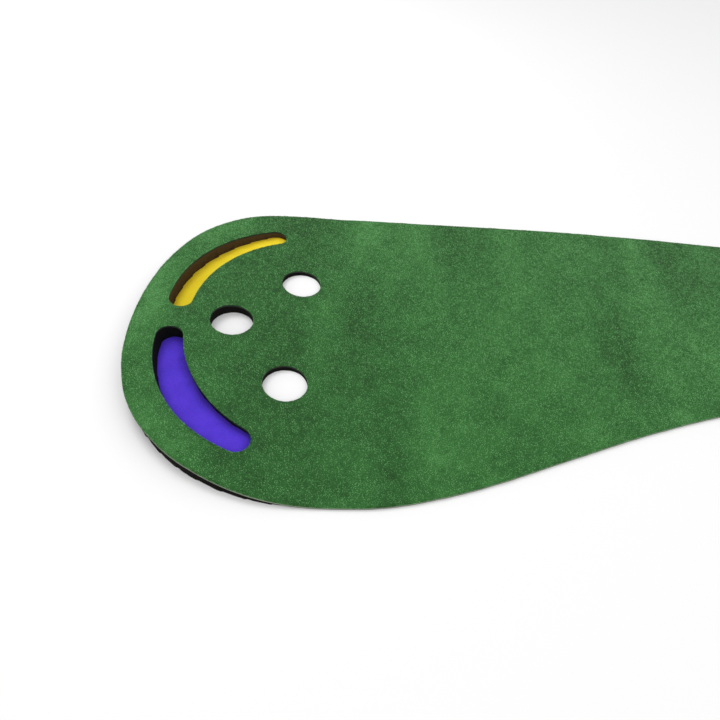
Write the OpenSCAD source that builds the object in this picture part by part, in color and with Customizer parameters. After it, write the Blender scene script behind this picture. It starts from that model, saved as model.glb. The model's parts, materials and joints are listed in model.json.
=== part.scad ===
// Kidney-shaped practice putting mat: a long sheet of artificial turf that
// climbs over a removable foam ramp with three cups and two hazard slots.
// X runs along the mat from the cup end to the putting end, Y runs across it.
// The origin is at the floor, in the middle of the mat's bounding box.

/* [Mat] */
// Length of the mat
mat_l = 2743; // [2600:1:3000]
// Width of the mat at its widest
mat_w = 914; // [880:1:960]
// Height of the turf pile
pile_t = 3.5; // [2:0.5:8]
// Thickness of the non-slip backing
backing_t = 1.5; // [1.5:0.5:4]
// Steps in each stretch of the curved outline
outline_steps = 5; // [3:1:10]

/* [Cups] */
// Diameter of a cup
cup_d = 90; // [60:1:96]
// Distance of the centre cup from the cup end
cup_inset = 196; // [185:1:200]
// Offset of the centre cup from the mat's middle line
cup_offset = -45; // [-60:1:-30]
// How far the outer cups lie in front of the centre cup
cup_forward = 133; // [120:1:135]
// How far the outer cups lie to each side of the centre cup
cup_spread = 153; // [140:1:165]

/* [Ramp] */
// Length of the slope, from the cup end to the toe line
slope_l = 395; // [395:1:420]
// Height of the slope's underside at the cup end
slope_h = 35; // [30:1:45]
// Thickness of the foam at its toe
toe_t = 1; // [0.5:0.1:1.2]
// How far the foam's wall is set in from the mat's edge
foam_inset = 5; // [0:1:10]
// Clearance between pieces that come apart
gap = 0.3; // [0.1:0.1:0.5]

/* [Hazards] */
// Half the width of the sand slot, in the middle and at its ends
sand_half_w = [28, 25]; // [22:1:32]
// Radius of the sand slot's centre line
sand_r = 305; // [295:1:315]
// Half the width of the water slot, in the middle and at its ends
water_half_w = [33, 27]; // [22:1:36]
// Radius of the water slot's centre line
water_r = 278; // [270:1:285]
// Thickness of the felt in the hazards
felt_t = 1.5; // [1:0.5:3]
// Steps along a slot
arc_steps = 16; // [8:1:32]
// Steps round a slot's end
end_steps = 12; // [6:1:24]
// How far the felt reaches under the foam round a slot
felt_margin = 9; // [5:1:12]

/* [Fastening] */
// Length of a hook-and-loop tab
tab_l = 50; // [30:1:55]
// Width of a hook-and-loop tab
tab_w = 22; // [15:1:25]
// Thickness of each half of a tab
tab_t = 1; // [0.5:0.1:1.2]

/* [Hidden] */
$fn = 96;
// Colours of the pieces
turf_green = [0.25, 0.44, 0.25];
backing_grey = [0.16, 0.17, 0.16];
foam_black = [0.08, 0.08, 0.08];
sand_yellow = [0.84, 0.79, 0.21];
water_blue = [0.30, 0.21, 0.70];
tab_black = [0.05, 0.05, 0.05];
// Derived places
cup_x = cup_inset - mat_l / 2;
toe_x = slope_l - mat_l / 2;
slope = slope_h / slope_l;
tilt = atan(slope);
ramp_toe_x = toe_x - (toe_t + gap) / slope;
cups = [[0, 0], [cup_forward, cup_spread], [cup_forward, -cup_spread]];
// Larger than any piece, for cutting
far = 2 * mat_l;
// Hazards as [centre of the arc from the centre cup, radius, half widths, first angle, last angle]
sand = [[189, 40], sand_r, sand_half_w, 116.5, 180];
water = [[165, -38], water_r, water_half_w, 187, 248.5];
// Tabs as [place from the centre cup, angle across the mat]
tabs = [
    [[-168, 6], 90], [[-131, 206], 68], [[-128, -202], -64],
    [[92, 0], 90], [[132, 290], 90], [[132, -280], 90]
];
// Corners of the curved outline, from the centre cup, anticlockwise from the cup end
outline_knots = [
    [-196, 10], [-186, -125], [-145, -241], [-76, -321], [15, -376],
    [120, -407], [234, -410], [356, -396], [510, -347], [700, -266],
    [910, -178], [1130, -107], [1360, -80], [1610, -102], [1860, -148],
    [2100, -178], [2300, -163], [2440, -98], [2522, 10], [2547, 140],
    [2518, 272], [2425, 378], [2275, 440], [2080, 470], [1830, 488],
    [1520, 500], [1210, 502], [900, 495], [660, 480], [435, 461],
    [222, 443], [61, 414], [-42, 370], [-128, 278], [-179, 149]
];
turf_t = backing_t + pile_t;

// Point on the curve through b and c, at t from 0 to 1
function between(a, b, c, d, t) =
    0.5 * (2 * b + (c - a) * t + (2 * a - 5 * b + 4 * c - d) * t * t
        + (3 * b - a - 3 * c + d) * t * t * t);

// Closed curve through all the points
function closed_curve(p, steps) = [
    for (i = [0 : len(p) - 1]) for (j = [0 : steps - 1])
        between(p[(i + len(p) - 1) % len(p)], p[i], p[(i + 1) % len(p)],
            p[(i + 2) % len(p)], j / steps)
];

// The points stretched to fill the mat's length and width
function fitted(p) =
    let (xs = [for (q = p) q[0]], ys = [for (q = p) q[1]],
        kx = mat_l / (max(xs) - min(xs)), ky = mat_w / (max(ys) - min(ys)),
        mx = (max(xs) + min(xs)) / 2, my = (max(ys) + min(ys)) / 2)
    [for (q = p) [(q[0] - mx) * kx, (q[1] - my) * ky]];

// The closed curve moved inwards by d, square to its own direction
function inset(p, d) = [
    for (i = [0 : len(p) - 1])
        let (along = p[(i + 1) % len(p)] - p[(i + len(p) - 1) % len(p)])
        p[i] + d * [-along[1], along[0]] / norm(along)
];

outline = fitted(closed_curve(outline_knots, outline_steps));
foam_outline = inset(outline, foam_inset);

module at_cup() {
    translate([cup_x, cup_offset]) children();
}

// Points about c from one angle to another, without the last one: the radius swells by bulge halfway
function arc_points(c, r, from, to, steps, bulge = 0) = [
    for (i = [0 : steps - 1])
        let (a = from + (to - from) * i / steps)
        c + (r + bulge * sin(180 * i / steps)) * [cos(a), sin(a)]
];

// Curved slot with round ends, a little wider in the middle
module arc_slot(hazard, grow = 0) {
    c = hazard[0];
    r = hazard[1];
    half = hazard[2][1] + grow;
    bulge = hazard[2][0] - hazard[2][1];
    from = hazard[3];
    to = hazard[4];
    polygon(concat(
        arc_points(c, r + half, from, to, arc_steps, bulge),
        arc_points(c + r * [cos(to), sin(to)], half, to, to + 180, end_steps),
        arc_points(c, r - half, to, from, arc_steps, -bulge),
        arc_points(c + r * [cos(from), sin(from)], half, from + 180, from + 360, end_steps)
    ));
}

module cut_outs() {
    at_cup() {
        for (c = cups) translate(c) circle(d = cup_d);
        arc_slot(sand);
        arc_slot(water);
    }
}

// What a closed outline holds between two places along X
module plan(shape, from, to) {
    intersection() {
        polygon(shape);
        translate([from, -mat_w]) square([to - from, 2 * mat_w]);
    }
}

// Upright prism over the cup end up to a place along X, with every opening
module cup_end_prism(shape, to) {
    translate([0, 0, -slope_h]) linear_extrude(4 * slope_h) difference() {
        plan(shape, -mat_l, to);
        cut_outs();
    }
}

// Everything between two heights above the sloping plane
module slope_slab(low, high) {
    translate([toe_x, 0, 0]) rotate([0, tilt, 0])
        translate([-far, -mat_w, low * cos(tilt)])
            cube([2 * far, 2 * mat_w, (high - low) * cos(tilt)]);
}

module tab_set(low, high) {
    intersection() {
        translate([0, 0, -slope_h]) linear_extrude(4 * slope_h) at_cup()
            for (t = tabs) translate(t[0]) rotate(t[1]) square([tab_l, tab_w], center = true);
        slope_slab(low, high);
    }
}

module felt(hazard, grow = 0) {
    at_cup() arc_slot(hazard, felt_margin + grow);
}

module turf_run() {
    color(turf_green) translate([0, 0, backing_t]) linear_extrude(pile_t) plan(outline, toe_x, mat_l);
}

module backing_run() {
    color(backing_grey) linear_extrude(backing_t) plan(outline, toe_x, mat_l);
}

module turf_cup_end() {
    color(turf_green) intersection() {
        cup_end_prism(outline, toe_x - gap);
        slope_slab(backing_t, turf_t);
    }
}

module backing_cup_end() {
    color(backing_grey) difference() {
        intersection() {
            cup_end_prism(outline, toe_x - gap);
            slope_slab(0, backing_t);
        }
        tab_set(-backing_t, tab_t);
    }
}

module foam_ramp() {
    color(foam_black) difference() {
        intersection() {
            cup_end_prism(foam_outline, ramp_toe_x);
            slope_slab(-far, -gap);
            translate([-far, -mat_w, 0]) cube([2 * far, 2 * mat_w, far]);
        }
        translate([0, 0, -felt_t]) linear_extrude(2 * felt_t) {
            felt(sand);
            felt(water);
        }
        tab_set(-gap - tab_t, backing_t);
    }
}

module sand_felt() {
    color(sand_yellow) linear_extrude(felt_t) felt(sand);
}

module water_felt() {
    color(water_blue) linear_extrude(felt_t) felt(water);
}

module hook_tabs() {
    color(tab_black) tab_set(-gap - tab_t, -gap);
}

module loop_tabs() {
    color(tab_black) tab_set(0, tab_t);
}

turf_run();
turf_cup_end();
backing_run();
backing_cup_end();
foam_ramp();
sand_felt();
water_felt();
hook_tabs();
loop_tabs();
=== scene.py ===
import json
import math

import bpy
import numpy as np
from mathutils import Euler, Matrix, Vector
from mathutils.geometry import delaunay_2d_cdt


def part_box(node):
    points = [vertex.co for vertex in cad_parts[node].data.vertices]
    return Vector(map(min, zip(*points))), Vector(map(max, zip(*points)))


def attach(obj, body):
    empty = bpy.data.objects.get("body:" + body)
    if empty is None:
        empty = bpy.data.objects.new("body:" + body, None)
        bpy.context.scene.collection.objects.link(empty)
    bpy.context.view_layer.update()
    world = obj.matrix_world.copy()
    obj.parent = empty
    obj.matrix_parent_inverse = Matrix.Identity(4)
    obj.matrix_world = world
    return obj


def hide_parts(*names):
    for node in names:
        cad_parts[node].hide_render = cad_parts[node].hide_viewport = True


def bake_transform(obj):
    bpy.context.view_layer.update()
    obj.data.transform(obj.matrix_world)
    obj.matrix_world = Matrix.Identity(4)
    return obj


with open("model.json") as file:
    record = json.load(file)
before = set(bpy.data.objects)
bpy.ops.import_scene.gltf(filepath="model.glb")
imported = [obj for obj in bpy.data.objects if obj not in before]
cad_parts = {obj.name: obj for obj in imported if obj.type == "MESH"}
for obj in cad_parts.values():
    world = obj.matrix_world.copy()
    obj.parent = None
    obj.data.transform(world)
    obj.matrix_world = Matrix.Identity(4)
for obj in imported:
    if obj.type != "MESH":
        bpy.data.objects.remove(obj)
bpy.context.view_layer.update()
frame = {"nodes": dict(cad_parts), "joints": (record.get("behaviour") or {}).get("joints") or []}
random = np.random.default_rng(7)
mm = 0.001
tau = 2 * math.pi

# Heights and places that come from the frame
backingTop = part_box("backing_run")[1].z  # also the underside of the turf
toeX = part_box("turf_run")[0].x  # the toe line, where the run ends and the slope begins
rampLow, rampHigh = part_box("foam_ramp")
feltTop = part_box("sand_felt")[1].z
hinge = next(j for j in frame["joints"] if j["name"] == "cup_end_bend")
slope = math.tan(math.radians(hinge["range_deg"][1]))

cameraView = {
    "place": (-0.951, -0.898, 0.858),
    "turn": -4.0,   # degrees from looking along +Y, anticlockwise from above
    "tilt": 42.7,   # degrees up from straight down
    "roll": 8.2,
    "lens": 27.66,  # on a 36 mm sensor
}
camera = bpy.data.objects.new("camera", bpy.data.cameras.new("camera"))
bpy.context.collection.objects.link(camera)
camera.data.lens = cameraView["lens"]
camera.data.clip_start = 0.01
camera.location = cameraView["place"]
turned = Euler((0, 0, math.radians(cameraView["turn"]))).to_matrix()
tilted = Euler((math.radians(cameraView["tilt"]), 0, 0)).to_matrix()
rolled = Euler((0, 0, math.radians(cameraView["roll"]))).to_matrix()
camera.rotation_euler = (turned @ tilted @ rolled).to_euler()
bpy.context.scene.camera = camera


# Plan shapes: closed loops of points, taken from the frame's own edges

def topLoops(node):
    # closed loops in plan round a node's upward faces, the longest first
    mesh = frame["nodes"][node].data
    points = np.empty(len(mesh.vertices) * 3)
    mesh.vertices.foreach_get("co", points)
    points = points.reshape(-1, 3)
    mesh.calc_loop_triangles()
    faces = np.empty(len(mesh.loop_triangles) * 3, int)
    mesh.loop_triangles.foreach_get("vertices", faces)
    keys = np.round(points / (0.01 * mm))
    _, first, same = np.unique(keys, axis=0, return_index=True, return_inverse=True)
    points, faces = points[first], same.reshape(-1)[faces.reshape(-1, 3)]
    a, b, c = (points[faces[:, i]] for i in range(3))
    normal = np.cross(b - a, c - a)
    up = normal[:, 2] > 0.9 * np.linalg.norm(normal, axis=1)
    edges = {(f[i], f[(i + 1) % 3]) for f in faces[up].tolist() for i in range(3)}
    following = {s: e for s, e in edges if (e, s) not in edges}
    loops = []
    while following:
        loop = [next(iter(following))]
        while loop[-1] in following:
            loop.append(following.pop(loop[-1]))
        loops.append(points[loop[:-1], :2])
    return sorted(loops, key=lambda p: -np.ptp(p, axis=0).sum())


def offTheCut(loop, x, side):
    # the stretch of a closed loop away from a straight cut at x: side is 1 for above x, -1 for below
    off = (loop[:, 0] - x) * side > 0.5 * mm
    start = np.flatnonzero(off & ~np.roll(off, 1))[0]
    turnedLoop = np.roll(loop, -start, axis=0)
    return turnedLoop[np.roll(off, -start)]


def evenLoop(points, spacing):
    # the same closed loop with its points an even distance apart
    closed = np.vstack([points, points[:1]])
    along = np.concatenate([[0], np.cumsum(np.hypot(*np.diff(closed, axis=0).T))])
    count = max(12, round(along[-1] / spacing))
    at = np.arange(count) * along[-1] / count
    return np.column_stack([np.interp(at, along, closed[:, i]) for i in range(2)])


def easedLoop(points, spacing, width):
    # an even loop with its corners rounded: a bell curve of that width, applied to the loop's spectrum
    even = evenLoop(points, spacing)
    waves = np.fft.fftfreq(len(even), np.hypot(*(even[1] - even[0])))
    bell = np.exp(-2 * (math.pi * waves * width) ** 2)
    return np.column_stack([np.fft.ifft(np.fft.fft(even[:, i]) * bell).real for i in range(2)])


def roundLoop(points, spacing):
    # a true circle through a coarse one, run clockwise as the edge of a hole is
    middle = (points.min(0) + points.max(0)) / 2
    radius = np.hypot(*(points - middle).T).mean()
    count = round(tau * radius / spacing)
    angle = -np.arange(count) * tau / count
    return middle + radius * np.column_stack([np.cos(angle), np.sin(angle)])


def outward(loop):
    # unit vectors square to a loop that runs anticlockwise round a sheet, or clockwise round a hole
    run = np.roll(loop, -1, axis=0) - np.roll(loop, 1, axis=0)
    run /= np.hypot(*run.T)[:, None]
    return np.column_stack([run[:, 1], -run[:, 0]])


def distanceTo(loop, x, y):
    # from each place to the nearest point of a loop, a few thousand places at a time
    parts = max(1, len(x) // 4000)
    return np.concatenate([
        np.min(np.hypot(px[:, None] - loop[:, 0], py[:, None] - loop[:, 1]), axis=1)
        for px, py in zip(np.array_split(x, parts), np.array_split(y, parts))])


def lattice(x, y, cell, seed):
    # smooth noise from -1 to 1: random numbers on a square lattice, eased between its corners
    wide = 256  # cells before the noise repeats
    grid = np.random.default_rng(seed).uniform(-1, 1, (wide, wide))
    ix, iy = np.floor(x / cell).astype(int), np.floor(y / cell).astype(int)
    fx, fy = x / cell - ix, y / cell - iy
    fx, fy = fx * fx * (3 - 2 * fx), fy * fy * (3 - 2 * fy)
    a, b = grid[ix % wide, iy % wide], grid[(ix + 1) % wide, iy % wide]
    c, d = grid[ix % wide, (iy + 1) % wide], grid[(ix + 1) % wide, (iy + 1) % wide]
    return (a * (1 - fx) + b * fx) * (1 - fy) + (c * (1 - fx) + d * fx) * fy


def handCut(loop, size, seed):
    # moves a loop in and out by up to size, as a knife strays: noise at two lengths along the edge
    stray = 0.7 * lattice(loop[:, 0], loop[:, 1], cutting["slow"], seed)
    stray += 0.3 * lattice(loop[:, 0], loop[:, 1], cutting["quick"], seed + 1)
    return loop + outward(loop) * (size * stray)[:, None]


cutting = {
    "spacing": 4 * mm,         # between the points of the outline
    "rounding": 8 * mm,        # how far the outline's corners are eased
    "stray": 0.6 * mm,         # how far the knife leaves the outline
    "slotSpacing": 3 * mm,
    "slotRounding": 2 * mm,
    "cupSpacing": 2.5 * mm,
    "openingStray": 0.4 * mm,  # how far the knife leaves the line of an opening
    "slow": 45 * mm,           # lengths of the knife's slow and quick strays
    "quick": 9 * mm,
    "atToe": 1 * mm,           # room for the gap between the two halves of the sheet
}
runEdge = offTheCut(topLoops("turf_run")[0], toeX, 1)
cupEndLoops = topLoops("turf_cup_end")
cupEndEdge = offTheCut(cupEndLoops[0], toeX - cutting["atToe"], -1)
outline = easedLoop(np.vstack([runEdge, cupEndEdge]), cutting["spacing"], cutting["rounding"])
outline = handCut(outline, cutting["stray"], 11)
slots = [easedLoop(p, cutting["slotSpacing"], cutting["slotRounding"]) for p in cupEndLoops[1:3]]
slots = sorted(slots, key=lambda p: -p[:, 1].mean())  # sand, then water
cups = [roundLoop(p, cutting["cupSpacing"]) for p in cupEndLoops[3:]]
cups = sorted(cups, key=lambda p: round(p[:, 0].mean(), 3))  # the centre cup, then the outer ones
openings = [handCut(p, cutting["openingStray"], 21 + i) for i, p in enumerate(slots + cups)]
print("plan: outline of", len(outline), "points,", len(slots), "slots and", len(cups), "cups")


# Surfaces

def newPiece(name, points, faces, material, body=None, walls=None, wallMaterial=None):
    # a mesh from whole arrays: points by row, and triangles or quads by row
    mesh = bpy.data.meshes.new(name)
    sides = faces.shape[1]
    mesh.vertices.add(len(points))
    mesh.vertices.foreach_set("co", points.astype(np.float32).reshape(-1))
    mesh.loops.add(faces.size)
    mesh.loops.foreach_set("vertex_index", faces.astype(np.int32).reshape(-1))
    mesh.polygons.add(len(faces))
    mesh.polygons.foreach_set("loop_start", np.arange(0, faces.size, sides, dtype=np.int32))
    mesh.polygons.foreach_set("use_smooth", np.ones(len(faces), bool))
    mesh.materials.append(material)
    if walls is not None:
        mesh.materials.append(wallMaterial)
        mesh.polygons.foreach_set("material_index", walls.astype(np.int32))
    mesh.update(calc_edges=True)
    mesh.validate()
    piece = bpy.data.objects.new(name, mesh)
    bpy.context.collection.objects.link(piece)
    if body:
        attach(piece, body)
    return piece


def pointsOf(piece):
    # every point of a piece, by row
    points = np.empty(len(piece.data.vertices) * 3)
    piece.data.vertices.foreach_get("co", points)
    return points.reshape(-1, 3)


def setValues(piece, name, values):
    # one number for each point of a piece, for its material to read
    layer = piece.data.attributes.new(name, "FLOAT", "POINT")
    layer.data.foreach_set("value", values.astype(np.float32))


def planTriangles(edges, holes, spacing):
    # triangles over what the edges hold less the holes, from a net of even triangles cut along every loop
    loops = edges + holes
    low, high = np.vstack(edges).min(0), np.vstack(edges).max(0)
    rows = np.arange(low[1], high[1], spacing * math.sqrt(3) / 2)
    columns = np.arange(low[0], high[0], spacing)
    gx, gy = np.meshgrid(columns, rows)
    gx = gx + (np.arange(len(rows)) % 2)[:, None] * spacing / 2
    net = np.column_stack([gx.ravel(), gy.ravel()])
    # a net point on an edge would split a side that the wall below it doesn't share
    nearest = 0.35 * spacing
    net = net[distanceTo(np.vstack(loops), net[:, 0], net[:, 1]) > nearest]
    points = np.vstack(loops + [net])
    starts = np.cumsum([0] + [len(p) for p in loops])
    lines = [list(range(a, b)) for a, b in zip(starts, starts[1:])]
    outlines = lines[:len(edges)] + [line[::-1] for line in lines[len(edges):]]
    flat = [Vector(p) for p in points.tolist()]
    found = delaunay_2d_cdt(flat, [], outlines, 0, 0.001 * mm, True)
    kept = [f for f, came in zip(found[2], found[5]) if came and max(came) < len(edges)]
    faces = np.array(kept)
    plan = np.array([(v.x, v.y) for v in found[0]])
    used, faces = np.unique(faces, return_inverse=True)
    renumber = np.full(len(plan), -1)
    renumber[used] = np.arange(len(used))
    atPoint = {given: i for i, came in enumerate(found[3]) for given in came}
    rims = [renumber[[atPoint[i] for i in line]] for line in lines]
    return plan[used], faces.reshape(-1, 3), rims


def slab(name, edges, holes, spacing, top, bottom, rows, material, wallMaterial, wallShape=None):
    # a closed sheet or block: the same plan at two heights, and walls of several rows between them
    plan, faces, rims = planTriangles(edges, holes, spacing)
    high = np.column_stack([plan, top(plan[:, 0], plan[:, 1])])
    low = np.column_stack([plan, bottom(plan[:, 0], plan[:, 1])])
    points, triangles, walls = [high, low], [faces, faces[:, ::-1] + len(plan)], [0, 0]
    count = 2 * len(plan)
    for number, rim in enumerate(rims):
        share = np.linspace(0, 1, rows + 1)[1:, None, None]
        wall = high[rim] * (1 - share) + low[rim] * share
        if wallShape is not None:
            wall = wallShape(wall, share, outward(plan[rim]), number)
            low[rim] = wall[-1]
        wall = wall[:-1]
        points.append(wall.reshape(-1, 3))
        between = count + np.arange((rows - 1) * len(rim)).reshape(rows - 1, len(rim))
        count += between.size
        ladder = np.vstack([rim, between, rim + len(plan)])
        a, b = ladder[:-1], np.roll(ladder, -1, axis=1)[:-1]
        c, d = np.roll(ladder, -1, axis=1)[1:], ladder[1:]
        triangles.append(np.stack([a, c, b], 2).reshape(-1, 3))
        triangles.append(np.stack([a, d, c], 2).reshape(-1, 3))
        walls += [1, 1]
    walls = np.concatenate([np.full(len(t), w) for t, w in zip(triangles, walls)])
    piece = newPiece(name, np.vstack(points), np.vstack(triangles), material, None, walls, wallMaterial)
    return piece, high, faces


# Materials

def startMaterial(name, roughness, sheen=0.0, sheenRoughness=0.5, specular=0.25):
    # a plain finish, whose colour and relief the materials below add
    material = bpy.data.materials.new(name)
    material.use_nodes = True
    shader = material.node_tree.nodes["Principled BSDF"]
    shader.inputs["Roughness"].default_value = roughness
    shader.inputs["Specular IOR Level"].default_value = specular
    shader.inputs["Sheen Weight"].default_value = sheen
    shader.inputs["Sheen Roughness"].default_value = sheenRoughness
    return material, material.node_tree, shader


def place(tree, scale=(1, 1, 1)):
    # the point on the piece, in metres, stretched by scale
    coordinates = tree.nodes.new("ShaderNodeTexCoord")
    mapping = tree.nodes.new("ShaderNodeMapping")
    mapping.inputs["Scale"].default_value = scale
    tree.links.new(coordinates.outputs["Object"], mapping.inputs["Vector"])
    return mapping.outputs["Vector"]


def grain(tree, vector, scale, detail=2.0, roughness=0.5):
    # soft noise from 0 to 1, with scale cells to the metre
    noise = tree.nodes.new("ShaderNodeTexNoise")
    noise.inputs["Scale"].default_value = scale
    noise.inputs["Detail"].default_value = detail
    noise.inputs["Roughness"].default_value = roughness
    tree.links.new(vector, noise.inputs["Vector"])
    return noise.outputs["Fac"]


def cells(tree, vector, scale):
    # distance to the nearest of many scattered points, as between the cells of a foam
    pattern = tree.nodes.new("ShaderNodeTexVoronoi")
    pattern.inputs["Scale"].default_value = scale
    tree.links.new(vector, pattern.inputs["Vector"])
    return pattern.outputs["Distance"]


def value(tree, name):
    # one of the numbers that setValues gave the points
    reader = tree.nodes.new("ShaderNodeAttribute")
    reader.attribute_name = name
    return reader.outputs["Fac"]


def added(tree, a, b, weight=1.0, offset=0.0):
    # a + weight * b + offset
    node = tree.nodes.new("ShaderNodeMath")
    node.operation = "MULTIPLY_ADD"
    tree.links.new(b, node.inputs[0])
    node.inputs[1].default_value = weight
    tree.links.new(a, node.inputs[2])
    if not offset:
        return node.outputs[0]
    more = tree.nodes.new("ShaderNodeMath")
    more.operation = "ADD"
    tree.links.new(node.outputs[0], more.inputs[0])
    more.inputs[1].default_value = offset
    return more.outputs[0]


def colours(tree, shader, factor, stops):
    # stops are (place, colour) from dark to light
    ramp = tree.nodes.new("ShaderNodeValToRGB")
    while len(ramp.color_ramp.elements) < len(stops):
        ramp.color_ramp.elements.new(0.5)
    for element, (at, colour) in zip(ramp.color_ramp.elements, stops):
        element.position = at
        element.color = (*colour, 1)
    tree.links.new(factor, ramp.inputs["Fac"])
    tree.links.new(ramp.outputs["Color"], shader.inputs["Base Color"])


def relief(tree, shader, height, depth):
    # small ups and downs of the finish
    bump = tree.nodes.new("ShaderNodeBump")
    bump.inputs["Distance"].default_value = depth
    tree.links.new(height, bump.inputs["Height"])
    tree.links.new(bump.outputs["Normal"], shader.inputs["Normal"])


# from the root to the tip: the dark root colours are painted shade deep in the pile
turfColours = {
    "root": (0.006, 0.040, 0.006),
    "low": (0.031, 0.158, 0.029),
    "middle": (0.132, 0.408, 0.117),
    "tip": (0.235, 0.535, 0.220),
}


def turfMaterial():
    # darker at the root and lighter at the tip, as painted shade deep in the pile, with painted light in
    # the nap's bands and each tuft's own random tone
    material, tree, shader = startMaterial("turf", 0.75, 0.12, 0.4)
    factor = added(tree, value(tree, "tip"), value(tree, "napLight"), 0.10)
    factor = added(tree, factor, value(tree, "shade"), 0.42)
    factor = added(tree, factor, grain(tree, place(tree), 420, 3), 0.25, -0.12)
    colours(tree, shader, factor, [
        (0.0, turfColours["root"]), (0.30, turfColours["low"]),
        (0.60, turfColours["middle"]), (1.0, turfColours["tip"])])
    relief(tree, shader, grain(tree, place(tree), 900, 3), 0.8 * mm)
    return material


def turfEdgeMaterial():
    # the cut edge of the turf's own cloth: pale grey green threads outside, painted dark as shade in the
    # holes
    material, tree, shader = startMaterial("turfEdge", 0.9)
    factor = added(tree, value(tree, "open"), grain(tree, place(tree, (1, 1, 3)), 700, 3, 0.7), 0.6)
    colours(tree, shader, factor, [
        (0.1, (0.010, 0.018, 0.010)), (0.45, (0.030, 0.045, 0.028)), (0.9, (0.30, 0.36, 0.25))])
    relief(tree, shader, grain(tree, place(tree), 1500, 2), 0.5 * mm)
    return material


def backingMaterial():
    # rubbery non-slip coat with a fine woven scrim showing through
    material, tree, shader = startMaterial("backing", 0.62)
    scrim = grain(tree, place(tree, (1, 0.1, 1)), 1600, 1)
    factor = added(tree, grain(tree, place(tree), 60, 4), scrim, 0.4)
    colours(tree, shader, factor, [(0.45, (0.012, 0.013, 0.012)), (0.9, (0.045, 0.048, 0.043))])
    relief(tree, shader, cells(tree, place(tree), 420), 0.6 * mm)
    return material


def foamMaterial():
    # closed-cell foam: near black, with tiny open cells, and browner near the sand slot
    material, tree, shader = startMaterial("foam", 0.9, specular=0.08)
    clouds = grain(tree, place(tree, (1, 1, 2.5)), 130, 4, 0.6)
    factor = added(tree, clouds, cells(tree, place(tree), 900), 0.5)
    factor = added(tree, factor, value(tree, "nearSandSlot"), 0.75, -0.45)
    colours(tree, shader, factor, [
        (0.1, (0.003, 0.003, 0.003)), (0.5, (0.009, 0.008, 0.007)), (1.0, (0.080, 0.048, 0.018))])
    relief(tree, shader, cells(tree, place(tree), 900), 0.7 * mm)
    return material


def feltMaterial(name, dark, middle, light):
    # needled felt: cloudy at a few centimetres, fibrous below a millimetre, and painted darker near the
    # foam walls as shade
    material, tree, shader = startMaterial(name, 0.9, 0.08, 0.5)
    fibres = grain(tree, place(tree, (1, 0.35, 1)), 1300, 3, 0.7)
    crossed = grain(tree, place(tree, (0.35, 1, 1)), 1300, 3, 0.7)
    factor = added(tree, added(tree, fibres, crossed), grain(tree, place(tree), 26, 3), 0.35)
    factor = added(tree, factor, value(tree, "shade"), 0.14, -0.67)
    colours(tree, shader, factor, [(0.2, dark), (0.5, middle), (0.85, light)])
    relief(tree, shader, added(tree, fibres, crossed, 1.0), 0.5 * mm)
    return material


turf = turfMaterial()
turfEdge = turfEdgeMaterial()
backing = backingMaterial()
foam = foamMaterial()
sandFelt = feltMaterial("sandFelt", (0.60, 0.40, 0.005), (0.88, 0.64, 0.010), (0.95, 0.78, 0.022))
waterFelt = feltMaterial("waterFelt", (0.036, 0.012, 0.30), (0.075, 0.028, 0.60), (0.115, 0.046, 0.78))
print("materials ready")


# The mat: backing and turf, one sheet each from end to end

mat = {
    "bend": 30 * mm,          # how softly the sheet turns up onto the ramp
    "settle": 45 * mm,        # how far past the toe line it still bends as the ramp slides
    "swell": 0.5 * mm,        # height of the low waves left from being rolled up
    "shortWave": 130 * mm,
    "longWave": 240 * mm,
    "calm": 150 * mm,         # in front of the toe line, over which the waves die out
    "rootHeight": 2.2 * mm,   # of the turf's cloth above the backing
    "uneven": 0.25 * mm,
    "unevenLength": 17 * mm,
    "net": 8 * mm,
    "backingNet": 13 * mm,
    # nearer than this to an opening, the cloth's cut edge is painted dark, as shade in the hole
    "holeShadeReach": 12 * mm,      # further than this from every opening, the cloth's edge is pale
    # the cloth between the tufts is painted dark, as shade under the pile
    "shadedClothLight": 0.22,       # how light the cloth is between the tufts
}


def swell(x, y):
    # low soft waves across the run that die out towards the ramp
    wave = 0.6 * lattice(x, y * 0.25, mat["shortWave"], 31) + 0.4 * lattice(x, y, mat["longWave"], 32)
    return mat["swell"] * (1 + wave) * np.clip((x - toeX) / mat["calm"], 0, 1)


def underside(x, y):
    # flat on the floor, then up the ramp: the corner at the toe line is eased by a hyperbola
    past = toeX - x
    return slope * 0.5 * (past + np.sqrt(past ** 2 + mat["bend"] ** 2)) + swell(x, y)


def backingHeight(x, y):
    # the top of the backing: its underside raised by its thickness
    return underside(x, y) + backingTop


def rootHeight(x, y):
    # the top of the turf's cloth, where the tufts stand: the backing raised a little unevenly
    uneven = mat["uneven"] * lattice(x, y, mat["unevenLength"], 41)
    return underside(x, y) + backingTop + mat["rootHeight"] + uneven


def bendWithMat(piece):
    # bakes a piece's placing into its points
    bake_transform(piece)


def flatArea(points, faces):
    # half the length of the cross product of two sides, summed over the triangles
    a, b, c = (points[faces[:, i]] for i in range(3))
    return float(np.linalg.norm(np.cross(b - a, c - a), axis=1).sum() / 2)


backingSheet, _, backingFaces = slab(
    "backingSheet", [outline], openings, mat["backingNet"], backingHeight, underside, 2, backing, backing)
turfSheet, turfPoints, turfFaces = slab(
    "turfSheet", [outline], openings, mat["net"], rootHeight, backingHeight, 2, turf, turfEdge)
print("sheets:", len(backingFaces), "and", len(turfFaces), "triangles in plan")


# Pile: a small three-sided tuft in each quarter of every triangle of the turf, and a fringe along each edge

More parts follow.
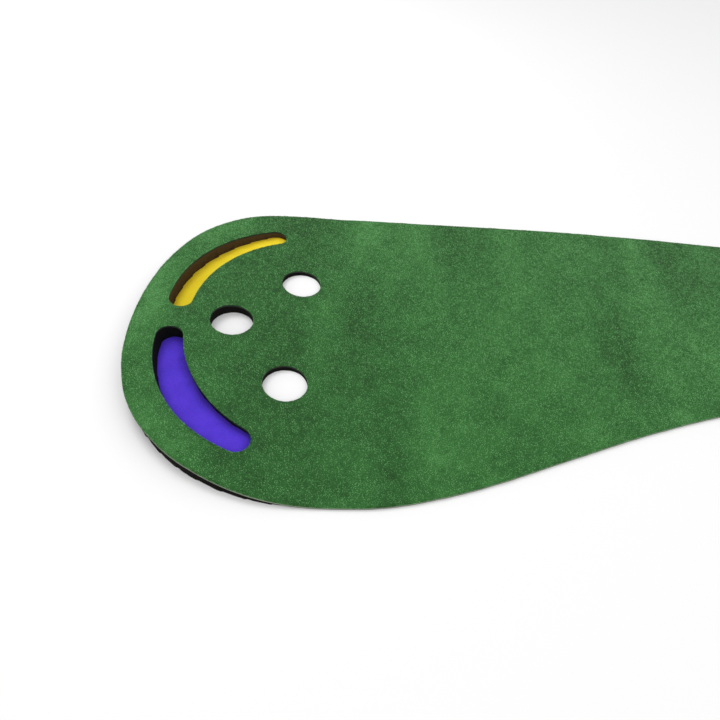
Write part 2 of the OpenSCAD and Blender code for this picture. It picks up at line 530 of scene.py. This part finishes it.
pile = {
    "height": 2.4 * mm,
    "width": 1.4 * mm,
    "lean": 1.4 * mm,
    "clump": 4.5 * mm,           # tufts this close together share some of their shade
    "sunk": 0.4 * mm,
    "pieces": 6,
    "heights": (0.55, 1.0),      # shares of the height
    "fringe": 1.4 * mm,          # between the tufts along an edge
    "fringeIn": (0.9 * mm, 1.8 * mm),
    "fringeLean": 0.7 * mm,
    "fringeHeights": (0.45, 0.85),
    "edgeLean": 0.3,             # share of its lean that a tuft near an edge keeps
    "edgeWidth": 0.6,            # and of its width
    # tufts are painted darker towards the root, as shade deep in the pile
    "shadedRootLight": 0.12,           # how light a tuft is at its root and at its tip
    "tipLight": 0.85,
    # the nap's bands and clouds are painted light, where the pile's lie catches more or less of it
    "band": 75 * mm,             # sizes of the bands and clouds in the nap
    "cloud": 38 * mm,
    "smallCloud": 13 * mm,
    # the raised cup end is painted paler, as it catches more light
    "litEnd": 90 * mm,          # how far in from the cup end the nap is paler
}


def napLight(x, y):
    # painted light where the pile's lie catches more or less of it: bands across the mat, clouds of two
    # sizes, and paler towards the raised cup end
    band = lattice(x, y * 0.22, pile["band"], 51)
    cloud = lattice(x, y, pile["cloud"], 52)
    small = lattice(x, y, pile["smallCloud"], 53)
    rim = np.clip((rampLow.x + pile["litEnd"] - x) / pile["litEnd"], 0, 1)
    return band + 0.5 * cloud + 0.4 * small + 0.9 * rim


def quarters(points, faces):
    # a random place in each of a triangle's four quarters
    a, b, c = (points[faces[:, i]] for i in range(3))
    ab, bc, ca = (a + b) / 2, (b + c) / 2, (c + a) / 2
    found = []
    for p, q, r in ((a, ab, ca), (b, bc, ab), (c, ca, bc), (ab, bc, ca)):
        s, t = random.random(len(p)), random.random(len(p))
        over = s + t > 1
        s, t = np.where(over, 1 - s, s)[:, None], np.where(over, 1 - t, t)[:, None]
        found.append(p + (q - p) * s + (r - p) * t)
    return np.vstack(found)


def besideEdge(points, faces):
    # which triangles touch the sheet's own edge, found from the sides that only one triangle has
    sides = np.sort(np.vstack([faces[:, [0, 1]], faces[:, [1, 2]], faces[:, [2, 0]]]), axis=1)
    single, times = np.unique(sides, axis=0, return_counts=True)
    onEdge = np.zeros(len(points), bool)
    onEdge[single[times == 1].ravel()] = True
    return onEdge[faces].any(1)


def tufts(roots, lean, height, width):
    # three points round each root and one at its tip: a closed spike of four faces
    count = len(roots)
    angle = random.random(count) * tau
    corners = []
    for third in range(3):
        turn = angle + third * tau / 3
        ring = [np.cos(turn) * width, np.sin(turn) * width, np.full(count, -pile["sunk"])]
        corners.append(roots + np.column_stack(ring))
    tips = roots + np.column_stack([lean, height])
    points = np.stack(corners + [tips], 1).reshape(-1, 3)
    base = 4 * np.arange(count)[:, None]
    faces = np.stack([base + corner for corner in ([0, 1, 3], [1, 2, 3], [2, 0, 3], [0, 2, 1])], 1)
    return points, faces.reshape(-1, 3)


def pilePieces():
    # the tufts inside the sheet and along its edges, shared out from the cup end to the putting end
    inside = quarters(turfPoints, turfFaces)
    count = len(inside)
    way = random.random(count) * tau
    reach = pile["lean"] * np.sqrt(random.random(count))
    byEdge = np.tile(besideEdge(turfPoints, turfFaces), 4)
    reach[byEdge] *= pile["edgeLean"]
    lean = np.column_stack([np.cos(way), np.sin(way)]) * reach[:, None]
    height = pile["height"] * random.uniform(*pile["heights"], count)
    edgeRoots, edgeLean = [], []
    for loop in [outline] + openings:
        rim = evenLoop(loop, pile["fringe"])
        out = outward(rim)
        rim = rim - out * random.uniform(*pile["fringeIn"], len(rim))[:, None]
        spread = random.normal(0, 0.2 * mm, rim.shape)
        edgeRoots.append(np.column_stack([rim, rootHeight(rim[:, 0], rim[:, 1])]))
        edgeLean.append(out * random.uniform(0, pile["fringeLean"], len(rim))[:, None] + spread)
    edgeRoots, edgeLean = np.vstack(edgeRoots), np.vstack(edgeLean)
    roots = np.vstack([inside, edgeRoots])
    lean = np.vstack([lean, edgeLean])
    nearEdge = np.concatenate([byEdge, np.ones(len(edgeRoots), bool)])
    slim = np.where(nearEdge, pile["edgeWidth"], 1)
    edgeHeight = pile["height"] * random.uniform(*pile["fringeHeights"], len(edgeRoots))
    height = np.concatenate([height, edgeHeight])
    order = np.argsort(roots[:, 0], kind="stable")
    made = []
    for number, part in enumerate(np.array_split(order, pile["pieces"])):
        width = pile["width"] * random.uniform(0.7, 1.1, len(part)) * slim[part]
        points, faces = tufts(roots[part], lean[part], height[part], width)
        piece = newPiece(f"turfPile{number + 1}", points, faces, turf)
        # painted light from the pile's lie
        litNap = napLight(roots[part, 0], roots[part, 1])
        setValues(piece, "napLight", np.repeat(litNap, 4))
        clump = lattice(roots[part, 0], roots[part, 1], pile["clump"], 54)
        own = random.uniform(-1, 1, len(part))
        setValues(piece, "shade", np.repeat(0.75 * own + 0.8 * clump, 4))
        # painted shade: each tuft darker at its root than at its tip
        setValues(piece, "tip", np.tile([pile["shadedRootLight"]] * 3 + [pile["tipLight"]], len(part)))
        made.append(piece)
    return made


everyPoint = pointsOf(turfSheet)
# painted light from the pile's lie
setValues(turfSheet, "napLight", napLight(everyPoint[:, 0], everyPoint[:, 1]))
setValues(turfSheet, "shade", np.zeros(len(everyPoint)))
# painted shade on the cloth between the tufts
setValues(turfSheet, "tip", np.full(len(everyPoint), mat["shadedClothLight"]))
fromHoles = distanceTo(np.vstack(openings), everyPoint[:, 0], everyPoint[:, 1])
# painted shade: 0 near the holes, where the cut edge is painted dark, and 1 further off
setValues(turfSheet, "open", (fromHoles > mat["holeShadeReach"]).astype(float))
pileParts = pilePieces()
print("pile:", sum(len(p.data.polygons) for p in pileParts), "faces in", len(pileParts), "pieces")

for sheet in [backingSheet, turfSheet] + pileParts:
    bendWithMat(sheet)
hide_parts("backing_run", "backing_cup_end")
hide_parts("turf_run", "turf_cup_end")
matArea = flatArea(turfPoints, turfFaces)


# The ramp: a foam wedge cut by hand, with felt under its two slots

foamCut = {
    "net": 10 * mm,
    "rows": 7,
    "ripple": 0.35 * mm,  # marks of the blade on a wall
    "stroke": 45 * mm,    # length of one stroke of the knife
    "step": 2.6 * mm,     # how far one stroke misses the next at the foot of a wall
    # one for each wall: the outer one, the sand and water slots, the centre cup and the two outer cups
    "steps": [0.5, 1, 0.4, 0, 0, 0],  # share of that step
    # how far along X and Y the slanted knife shifts the wall's foot
    "slants": [(0, 0), (1.5 * mm, -2 * mm), (5 * mm, -1 * mm), (0, 0), (0, -2.5 * mm), (0, -2.5 * mm)],
    "spacing": 4 * mm,    # between the points of the outer edge
    "rounding": 2 * mm,
    "stray": 0.5 * mm,    # how far the knife leaves the line of a hole
    "wide": 3 * mm,       # how far the soft block spreads past its plain shape
    "toeFade": 20 * mm,   # from the toe, over which that starts
    "splay": 2.5 * mm,    # how much further its outer wall's foot stands out
    "splayHeight": 10 * mm,  # least height of a wall that splays in full
    "gap": 0.3 * mm,      # between the block and the mat
    "below": 0.6 * mm,    # more room under the mat, for the hook-and-loop tabs
    "thin": 0.4 * mm,     # least thickness, at the toe
    "overFelt": 0.1 * mm,
    "fold": 6 * mm,       # past the felt, over which the block comes down to the floor
    "lip": 8 * mm,        # how far the felt reaches under the foam
}


def besideEnd(out):
    # below 0 where an edge faces the cup end, at which the block is cut short, and 1 along its sides
    return np.clip((out[:, 0] + 0.75) / 0.3, -0.7, 1)


foamEdge = easedLoop(topLoops("foam_ramp")[0], foamCut["spacing"], foamCut["rounding"])
fromToe = np.clip((rampHigh.x - foamEdge[:, 0]) / foamCut["toeFade"], 0, 1)
foamOut = outward(foamEdge)
foamEdge = foamEdge + foamOut * (foamCut["wide"] * fromToe * besideEnd(foamOut))[:, None]
foamHoles = [handCut(p, foamCut["stray"], 61 + i) for i, p in enumerate(slots + cups)]


def foamTop(x, y):
    # the mat's slope lowered by the gap and by room for the tabs, and never below its least thickness
    rise = slope * (toeX - x) - foamCut["gap"]
    return np.maximum(rise - foamCut["below"], foamCut["thin"])


def foamFoot(x, y):
    # flat on the floor, lifted over the felt round the two slots
    near = np.minimum(distanceTo(slots[0], x, y), distanceTo(slots[1], x, y))
    lift = np.clip((foamCut["lip"] + foamCut["fold"] - near) / foamCut["fold"], 0, 1)
    return np.minimum(lift * (feltTop + foamCut["overFelt"]), 0.6 * foamTop(x, y))


def knifeWall(wall, share, out, number):
    # along each stroke of the knife the foot drifts from in to out, and the next stroke starts afresh;
    # a fine ripple crosses the wall, and the knife's slant shifts the whole foot of a hole
    x, y, z = wall[..., 0], wall[..., 1], wall[..., 2]
    stretch = np.hypot(*(np.roll(wall[0, :, :2], -1, axis=0) - wall[0, :, :2]).T)
    strokes = max(1, round(stretch.sum() / foamCut["stroke"]))
    along = (np.cumsum(stretch) / stretch.sum() * strokes) % 1
    miss = foamCut["step"] * foamCut["steps"][number] * (along - 0.5) * share[..., 0]
    ripple = lattice(x + y, z * 3, 7 * mm, 71) + 0.6 * lattice(x - y, z, 23 * mm, 72)
    ripple = foamCut["ripple"] * ripple
    if number == 0:
        full = np.clip(z[0] / foamCut["splayHeight"], 0, 1)
        miss = miss + foamCut["splay"] * share[..., 0] * full * besideEnd(out)
    moved = wall.copy()
    moved[..., :2] += out[None] * (miss + ripple)[..., None] + share * np.array(foamCut["slants"][number])
    return moved


foamRamp = slab(
    "foamRamp", [foamEdge], foamHoles, foamCut["net"], foamTop, foamFoot, foamCut["rows"],
    foam, foam, knifeWall)[0]
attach(foamRamp, "ramp")
everyPoint = pointsOf(foamRamp)
# browner within a lip's width of the sand slot
fromSand = distanceTo(slots[0], everyPoint[:, 0], everyPoint[:, 1])
setValues(foamRamp, "nearSandSlot", np.clip(1 - fromSand / foamCut["lip"], 0, 1))
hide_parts("foam_ramp")

felt = {
    "net": 5 * mm,
    "ripple": 0.7 * mm,      # height of a ripple
    "wave": 46 * mm,         # from one ripple to the next
    "wander": 60 * mm,
    "radius": 280 * mm,      # of a slot's curve, roughly
    "centre": 250 * mm,      # how far the centre of that curve lies past a slot's middle
    "free": 12 * mm,         # from the slot's edge, where the felt lies free of the foam
    "rise": 10 * mm,
    # within this of the slot's edge, the felt is painted darker, as shade from the foam walls
    "wallShadeReach": 9 * mm,          # from the slot's edge, beyond which the felt is palest
    "gap": 0.05 * mm,        # over the floor
    "fuzz": 0.9 * mm,        # height of the longest hair
    "hair": 0.12 * mm,       # half its thickness at the root
    "hairLean": (0.6, 2.2),  # millimetres
}


def planDistance(loop, x, y):
    # distance to a loop, negative outside it: the nearest point's outward side tells which
    away = np.hypot(x[:, None] - loop[:, 0], y[:, None] - loop[:, 1])
    nearest = away.argmin(1)
    side = ((np.column_stack([x, y]) - loop[nearest]) * outward(loop)[nearest]).sum(1)
    return away.min(1) * np.sign(side)


def feltSheet(name, node, slotLoop, material, seed):
    # a sheet on the floor that reaches under the foam, with soft ripples where it is free
    middle = slotLoop.mean(0)
    edge = slotLoop[::-1] - outward(slotLoop)[::-1] * foamCut["lip"]

    def top(x, y):
        free = np.clip(distanceTo(slotLoop, x, y) / felt["free"], 0, 1)
        along = np.arctan2(y - middle[1], x - middle[0] - felt["centre"])
        wave = np.sin(along * tau * felt["radius"] / felt["wave"] + 2 * lattice(x, y, felt["wander"], seed))
        inside = np.clip(planDistance(slotLoop, x, y) / felt["rise"], 0, 1)
        return feltTop + felt["ripple"] * inside * free * (1 + wave) / 2

    def bottom(x, y):
        return np.full(len(x), felt["gap"])

    def wallShade(piece):
        # painted shade from the foam walls: from -1 at the foot of the foam to 1 along the middle of the
        # slot
        spot = pointsOf(piece)
        return np.clip(planDistance(slotLoop, spot[:, 0], spot[:, 1]) / felt["wallShadeReach"] - 1, -1, 1)

    sheet, points, faces = slab(name, [edge], [], felt["net"], top, bottom, 2, material, material)
    spots = quarters(points, faces)
    spots = np.vstack([quarters(points, faces) for _ in range(3)] + [spots])  # four hairs to a quarter
    way = random.random(len(spots)) * tau
    lean = np.column_stack([np.cos(way), np.sin(way)])
    lean = lean * random.uniform(*felt["hairLean"], len(way))[:, None] * mm
    height = felt["fuzz"] * random.random(len(spots)) ** 2
    hairs, hairFaces = tufts(spots, lean, height, np.full(len(way), felt["hair"]))
    fuzz = newPiece(name + "Fuzz", hairs, hairFaces, material, "ramp")
    # painted shade from the foam walls, and each hair's own random tone
    setValues(fuzz, "shade", wallShade(fuzz) + np.repeat(random.uniform(-0.7, 0.7, len(spots)), 4))
    setValues(sheet, "shade", wallShade(sheet))
    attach(sheet, "ramp")
    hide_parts(node)
    flatArea(points, faces)


feltSheet("sandSheet", "sand_felt", slots[0], sandFelt, 81)
feltSheet("waterSheet", "water_felt", slots[1], waterFelt, 82)
print("ramp and felts made")


# Hook-and-loop tabs: hooks on the foam, loops under the mat

tabs = {
    "plate": 0.45 * mm,    # thickness of each half
    "proud": 0.15 * mm,    # how far the hook half stands out of the foam
    "sunk": 0.2 * mm,      # how far the loop half hangs below the mat
    "edge": 1.5 * mm,      # between the points of an edge
    "net": 2.4 * mm,
    "pitch": 1.5 * mm,     # between one hook and the next
    "hook": 0.38 * mm,     # height of a hook
    "loop": 0.42 * mm,     # height of a loop
    "loopFoot": 0.4 * mm,  # half a loop's width at its feet, and at its bend
    "loopBend": 0.3 * mm,
    "thread": 0.09 * mm,   # half the thickness of a hook's or loop's thread
}


def tabMaterial():
    # dull black nylon with the ribs of its weave
    material, tree, shader = startMaterial("tabNylon", 0.55)
    ribs = grain(tree, place(tree, (1, 0.2, 1)), 900, 2)
    factor = added(tree, ribs, grain(tree, place(tree), 90, 2), 0.5)
    colours(tree, shader, factor, [(0.4, (0.006, 0.006, 0.007)), (1.0, (0.035, 0.035, 0.038))])
    relief(tree, shader, grain(tree, place(tree, (1, 0.2, 1)), 1800, 2), 0.3 * mm)
    return material


def threads(roots, way, path, width):
    # a three-sided thread along a bent path that stands on each root, turned to its own way;
    # each cross-section is square to the path there, so that every side faces out
    steps, count = len(path), len(roots)
    reach = np.column_stack([np.cos(way), np.sin(way), np.zeros(count)])
    across = np.column_stack([-np.sin(way), np.cos(way), np.zeros(count)])
    up = np.array([0, 0, 1.0])
    spine = roots[:, None] + path[None, :, :1] * reach[:, None] + path[None, :, 1:] * up
    run = np.gradient(path, axis=0)
    run /= np.hypot(*run.T)[:, None]
    square = -run[None, :, 1:] * reach[:, None] + run[None, :, :1] * up
    sides = []
    for third in range(3):
        turn = third * tau / 3
        sides.append(spine + width * (math.cos(turn) * across[:, None] + math.sin(turn) * square))
    points = np.stack(sides, 2).reshape(-1, 3)
    start = 3 * steps * np.arange(count)[:, None] + 3 * np.arange(steps - 1)[None]
    faces = []
    for third in range(3):
        a, b = start + third, start + (third + 1) % 3
        faces += [np.stack([a, b, b + 3], 2), np.stack([a, b + 3, a + 3], 2)]
    last = 3 * steps * np.arange(count)[:, None] + 3 * (steps - 1)
    faces.append(np.stack([last, last + 1, last + 2], 2))
    first = 3 * steps * np.arange(count)[:, None]
    faces.append(np.stack([first, first + 2, first + 1], 2))
    return points, np.vstack([f.reshape(-1, 3) for f in faces])


def tabHalf(name, node, body, plateLow, plateTop, path, rootAt):
    # the plates of one half, and the hooks or loops that stand on them
    loops = [evenLoop(p, tabs["edge"]) for p in topLoops(node)]
    plate, points, faces = slab(name, loops, [], tabs["net"], plateTop, plateLow, 2, nylon, nylon)
    wanted = round(flatArea(points, faces) / tabs["pitch"] ** 2)
    spots = random.permutation(quarters(points, faces))[:wanted, :2]
    spots = np.column_stack([spots, rootAt(spots[:, 0], spots[:, 1])])
    hairs, hairFaces = threads(spots, random.random(len(spots)) * tau, path, tabs["thread"])
    tops = newPiece(name + "Threads", hairs, hairFaces, nylon, body)
    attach(plate, body)
    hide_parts(node)


nylon = tabMaterial()
hook, loop = tabs["hook"], tabs["loop"]
hookPath = np.array([(0, 0), (0, 0.7 * hook), (0.35 * hook, hook), (0.8 * hook, 0.75 * hook)])
foot, bend = tabs["loopFoot"], tabs["loopBend"]
loopPath = np.array([(-foot, 0), (-bend, -0.8 * loop), (bend, -loop), (foot, 0)])


def hookFace(x, y):
    # the face that the hooks stand on, just above the foam
    return foamTop(x, y) + tabs["proud"]


def hookFoot(x, y):
    # its other face, a plate lower
    return hookFace(x, y) - tabs["plate"]


def loopFace(x, y):
    # the face that the loops hang from, just below the mat
    return underside(x, y) - tabs["sunk"]


def loopBack(x, y):
    # its other face, a plate higher
    return loopFace(x, y) + tabs["plate"]


tabHalf("hookTabs", "hook_tabs", "ramp", hookFoot, hookFace, hookPath, hookFace)
tabHalf("loopTabs", "loop_tabs", "cup_end", loopFace, loopBack, loopPath, loopFace)
print("tabs made")


# Floor and light

studio = {
    "floor": 0.86,  # how pale the floor is
    "reach": 30,    # metres from the middle of the floor to its sides
    "sky": 0.95,
    "key": 34.0,    # watts
    "fill": 12.0,
}
far = studio["reach"]
floorMesh = bpy.data.meshes.new("floor")
floorMesh.from_pydata([(-far, -far, 0), (far, -far, 0), (far, far, 0), (-far, far, 0)], [], [(0, 1, 2, 3)])
floor = bpy.data.objects.new("floor", floorMesh)
bpy.context.collection.objects.link(floor)
paint, _, paintShader = startMaterial("floorPaint", 0.7)
paintShader.inputs["Base Color"].default_value = (studio["floor"],) * 3 + (1,)
floorMesh.materials.append(paint)

world = bpy.data.worlds.new("studio")
world.use_nodes = True
world.node_tree.nodes["Background"].inputs["Color"].default_value = (1, 1, 1, 1)
world.node_tree.nodes["Background"].inputs["Strength"].default_value = studio["sky"]
bpy.context.scene.world = world


def lamp(name, at, aim, size, power):
    # a soft round lamp that points from one place to another
    light = bpy.data.lights.new(name, "AREA")
    light.shape = "DISK"
    light.size = size
    light.energy = power
    lampObject = bpy.data.objects.new(name, light)
    lampObject.location = at
    lampObject.rotation_euler = (Vector(aim) - Vector(at)).to_track_quat("-Z", "Y").to_euler()
    bpy.context.collection.objects.link(lampObject)


lamp("keyLight", at=(-2.4, 1.6, 2.6), aim=(-0.6, 0, 0), size=1.6, power=studio["key"])
lamp("fillLight", at=(1.2, -2.6, 2.4), aim=(-0.4, 0, 0), size=2.2, power=studio["fill"])
bpy.context.scene.view_settings.view_transform = "Standard"
